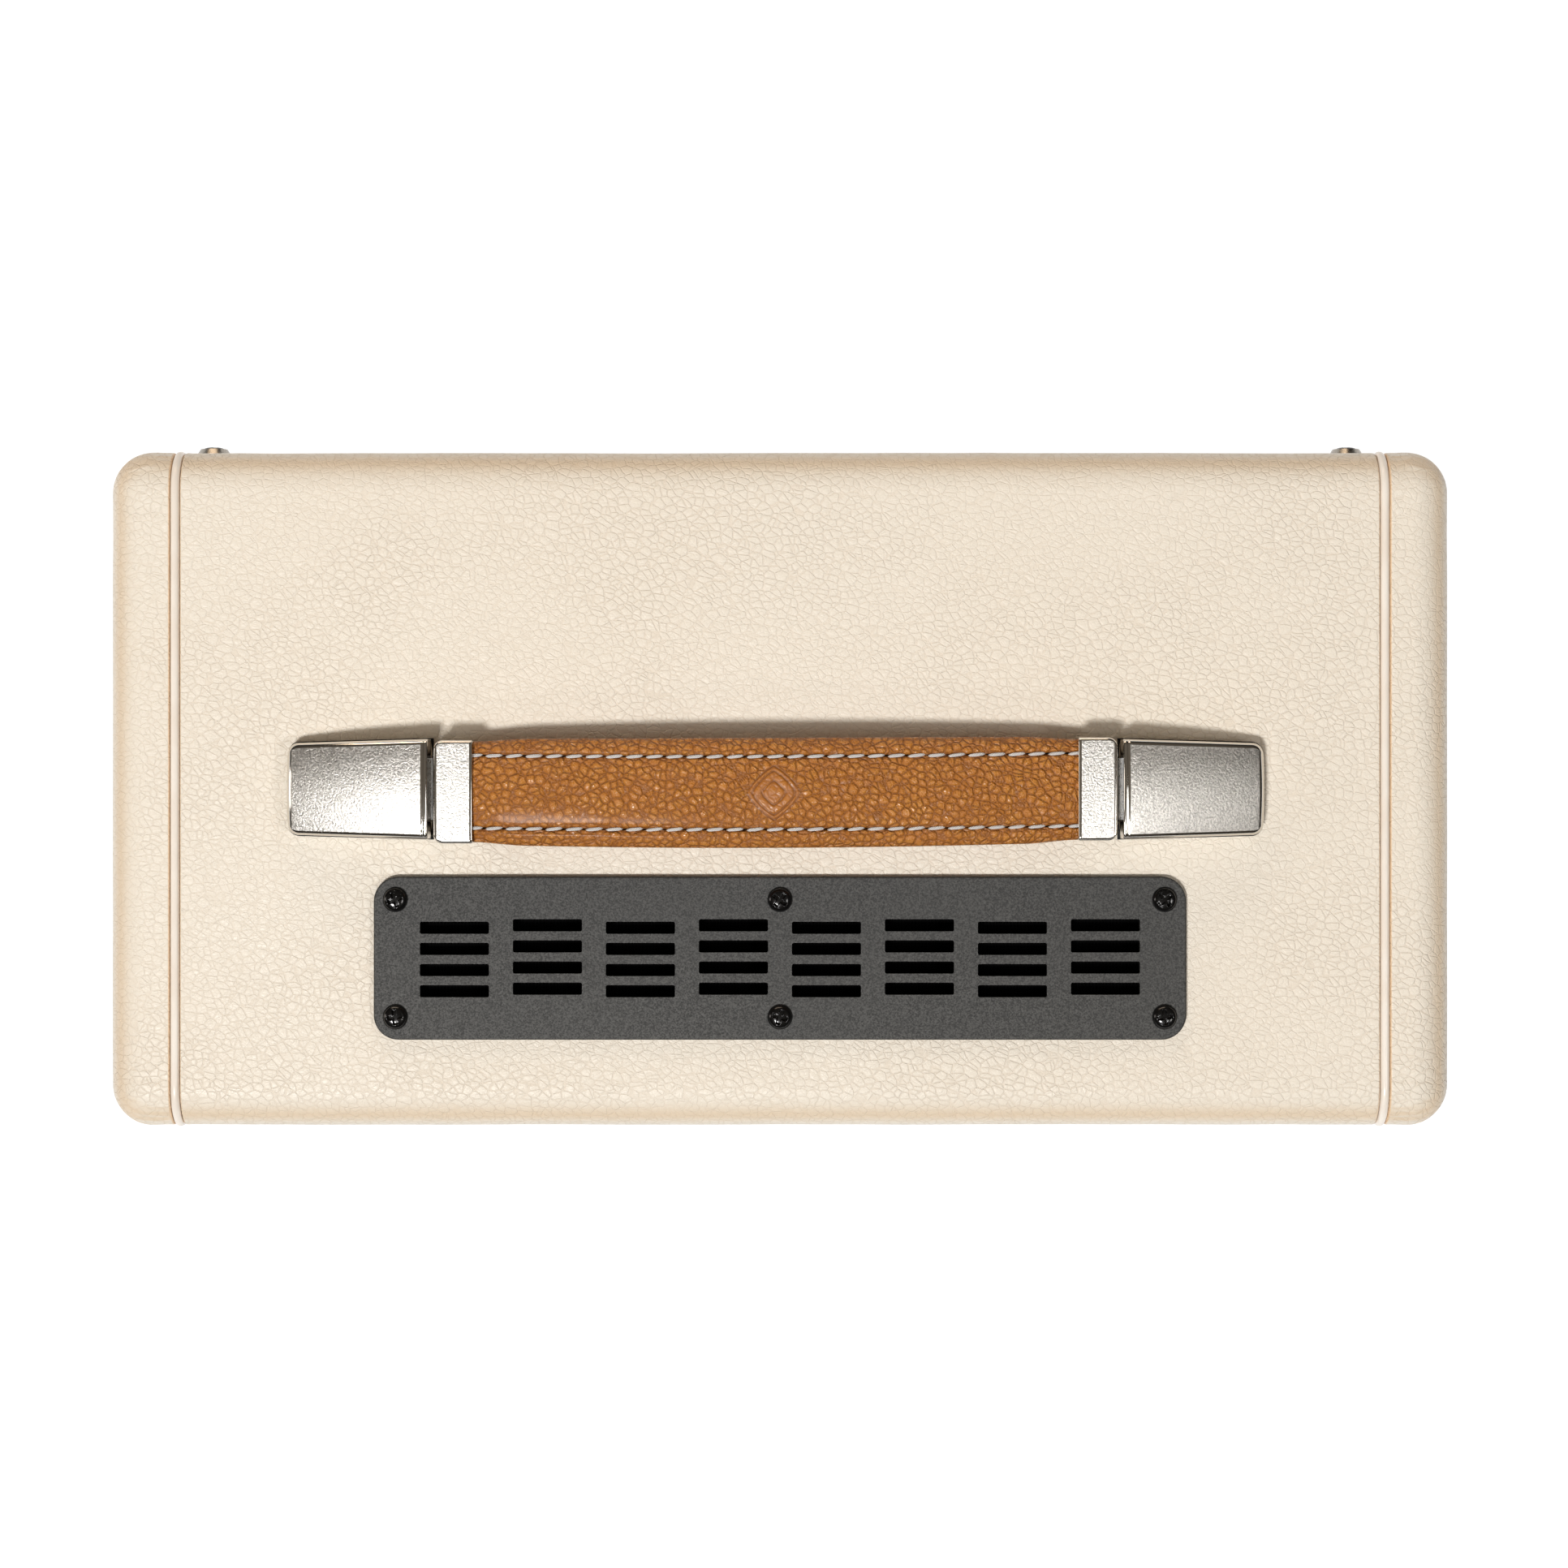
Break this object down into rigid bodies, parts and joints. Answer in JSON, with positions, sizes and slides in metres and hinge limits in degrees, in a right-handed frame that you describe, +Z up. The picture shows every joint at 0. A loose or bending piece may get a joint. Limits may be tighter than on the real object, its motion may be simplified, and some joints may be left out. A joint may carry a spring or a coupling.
{
  "type": "portable radio",
  "caption": "Portable radio in a rounded cream leathercloth cabinet with piped seams, a top vent plate and a tan leather strap handle in satin metal end brackets.",
  "frame": {"origin": "on the floor under the middle of the cabinet, at the lowest points of the feet", "axes": "+Z up, +Y to the rear panel, +X to the right seen from the front; the handle runs along X"},
  "size_m": [0.3536, 0.1812, 0.2565],
  "materials": {
    "leathercloth": "cream pebbled leathercloth, semi-matt",
    "tan_leather": "smooth tan saddle leather, waxed",
    "piping": "glossy off-white vinyl",
    "plywood": "birch plywood, bare",
    "satin_nickel": "fine blasted satin nickel plate",
    "vent_grey": "dark grey fine-textured powder coat",
    "black_screw": "glossy black oxide",
    "zinc_steel": "bright zinc plate",
    "panel_metal": "satin brown-black lacquer",
    "grille_fabric": "coarse woven speaker cloth",
    "wood_fibre": "dark hardboard",
    "glass_clear": "clear polished",
    "scale_card": "cream printed scale",
    "pointer_red": "red lacquer",
    "brass_part": "turned brass",
    "cord_nylon": "nylon dial cord",
    "knob_plastic": "polished dark brown moulding",
    "chrome_part": "polished",
    "jewel_red": "clear red lens",
    "magnet_black": "ferrite and black steel",
    "cone_paper": "pressed black paper",
    "circuit_green": "fibreglass board with components",
    "black_plastic": "fine-textured black moulding",
    "cell_jacket": "plain blue cell jacket",
    "foot_rubber": "black rubber"
  },
  "bodies": {
    "root": {"baffle_board": "plywood", "battery_bay": "black_plastic", "battery_cells": "cell_jacket", "bottom_board": "plywood", "bottom_cover": "leathercloth", "chassis": "zinc_steel", "circuit_board": "circuit_green", "cleats": "plywood", "connector_plate": "vent_grey", "control_panel": "panel_metal", "control_pots": "zinc_steel", "dial_cord": "cord_nylon", "dial_scale": "scale_card", "dial_window": "glass_clear", "feet": "foot_rubber", "foot_screws": "zinc_steel", "front_rail": "leathercloth", "grille_cloth": "grille_fabric", "grille_frame": "wood_fibre", "handle_bolts": "zinc_steel", "left_bracket": "satin_nickel", "left_cheek": "plywood", "left_cheek_cover": "leathercloth", "left_piping": "piping", "pilot_jewel": "jewel_red", "plate_screws": "black_screw", "power_switch": "zinc_steel", "rear_cup_washers": "satin_nickel", "rear_panel": "wood_fibre", "rear_panel_cover": "leathercloth", "rear_screws": "black_screw", "rear_sockets": "black_plastic", "right_bracket": "satin_nickel", "right_cheek": "plywood", "right_cheek_cover": "leathercloth", "right_piping": "piping", "speaker_frames": "zinc_steel", "speaker_magnets": "magnet_black", "top_board": "plywood", "top_cover": "leathercloth", "tuning_capacitor": "zinc_steel", "vent_plate": "vent_grey", "vent_screws": "black_screw"},
    "grip": {"handle_grip": "tan_leather", "grip_core": "zinc_steel"},
    "left_end": {"left_ferrule": "satin_nickel", "left_tongue": "zinc_steel"},
    "right_end": {"right_ferrule": "satin_nickel", "right_tongue": "zinc_steel"},
    "volume": {"volume_knob": "knob_plastic"},
    "tone": {"tone_knob": "knob_plastic"},
    "band": {"band_knob": "knob_plastic"},
    "tuner": {"tuning_knob": "knob_plastic", "tuning_spindle": "zinc_steel"},
    "drum": {"tuning_drum": "brass_part"},
    "pointer": {"dial_pointer": "pointer_red"},
    "toggle": {"power_toggle": "chrome_part"},
    "door": {"battery_door": "black_plastic"},
    "left_diaphragm": {"left_cone": "cone_paper"},
    "right_diaphragm": {"right_cone": "cone_paper"}
  },
  "joints": [
    {"name": "handle_lift", "type": "slide", "parent": "root", "child": "grip", "axis": [0, 0, 1], "range_m": [0, 0.008], "deforming": ["handle_grip"]},
    {"name": "left_end_hinge", "type": "hinge", "parent": "grip", "child": "left_end", "pos_m": [-0.0603, 0, 0.2499], "axis": [0, -1, 0], "range_deg": [0, 10]},
    {"name": "right_end_hinge", "type": "hinge", "parent": "grip", "child": "right_end", "pos_m": [0.058, 0, 0.2499], "axis": [0, 1, 0], "range_deg": [0, 10]},
    {"name": "volume_turn", "type": "hinge", "parent": "root", "child": "volume", "pos_m": [-0.112, -0.08, 0.198], "axis": [0, 1, 0], "range_deg": [-150, 150]},
    {"name": "tone_turn", "type": "hinge", "parent": "root", "child": "tone", "pos_m": [-0.08, -0.08, 0.198], "axis": [0, 1, 0], "range_deg": [-150, 150]},
    {"name": "band_turn", "type": "hinge", "parent": "root", "child": "band", "pos_m": [-0.048, -0.08, 0.198], "axis": [0, 1, 0], "range_deg": [-30, 30]},
    {"name": "tuning_turn", "type": "hinge", "parent": "root", "child": "tuner", "pos_m": [0.126, -0.08, 0.198], "axis": [0, 1, 0], "range_deg": [-396, 396]},
    {"name": "drum_turn", "type": "hinge", "parent": "root", "child": "drum", "pos_m": [0.036, -0.061, 0.195], "axis": [0, 1, 0], "range_deg": [-91, 91]},
    {"name": "pointer_slide", "type": "slide", "parent": "root", "child": "pointer", "axis": [1, 0, 0], "range_m": [-0.0352, 0.0352]},
    {"name": "power_throw", "type": "hinge", "parent": "root", "child": "toggle", "pos_m": [-0.141, -0.071, 0.187], "axis": [1, 0, 0], "range_deg": [-28, 0]},
    {"name": "door_hinge", "type": "hinge", "parent": "root", "child": "door", "pos_m": [0, 0.086, 0.037], "axis": [1, 0, 0], "range_deg": [-100, 0]},
    {"name": "left_cone_travel", "type": "slide", "parent": "root", "child": "left_diaphragm", "axis": [0, 1, 0], "range_m": [-0.002, 0.002], "stiffness_N_per_m": 1000},
    {"name": "right_cone_travel", "type": "slide", "parent": "root", "child": "right_diaphragm", "axis": [0, 1, 0], "range_m": [-0.002, 0.002], "stiffness_N_per_m": 1000}
  ],
  "couplings": [
    {"joint": "left_end_hinge", "follows": "handle_lift", "rad_per_m": 20},
    {"joint": "right_end_hinge", "follows": "handle_lift", "rad_per_m": 20},
    {"joint": "drum_turn", "follows": "tuning_turn", "ratio": 0.22727},
    {"joint": "pointer_slide", "follows": "tuning_turn", "m_per_rad": 0.005}
  ]
}
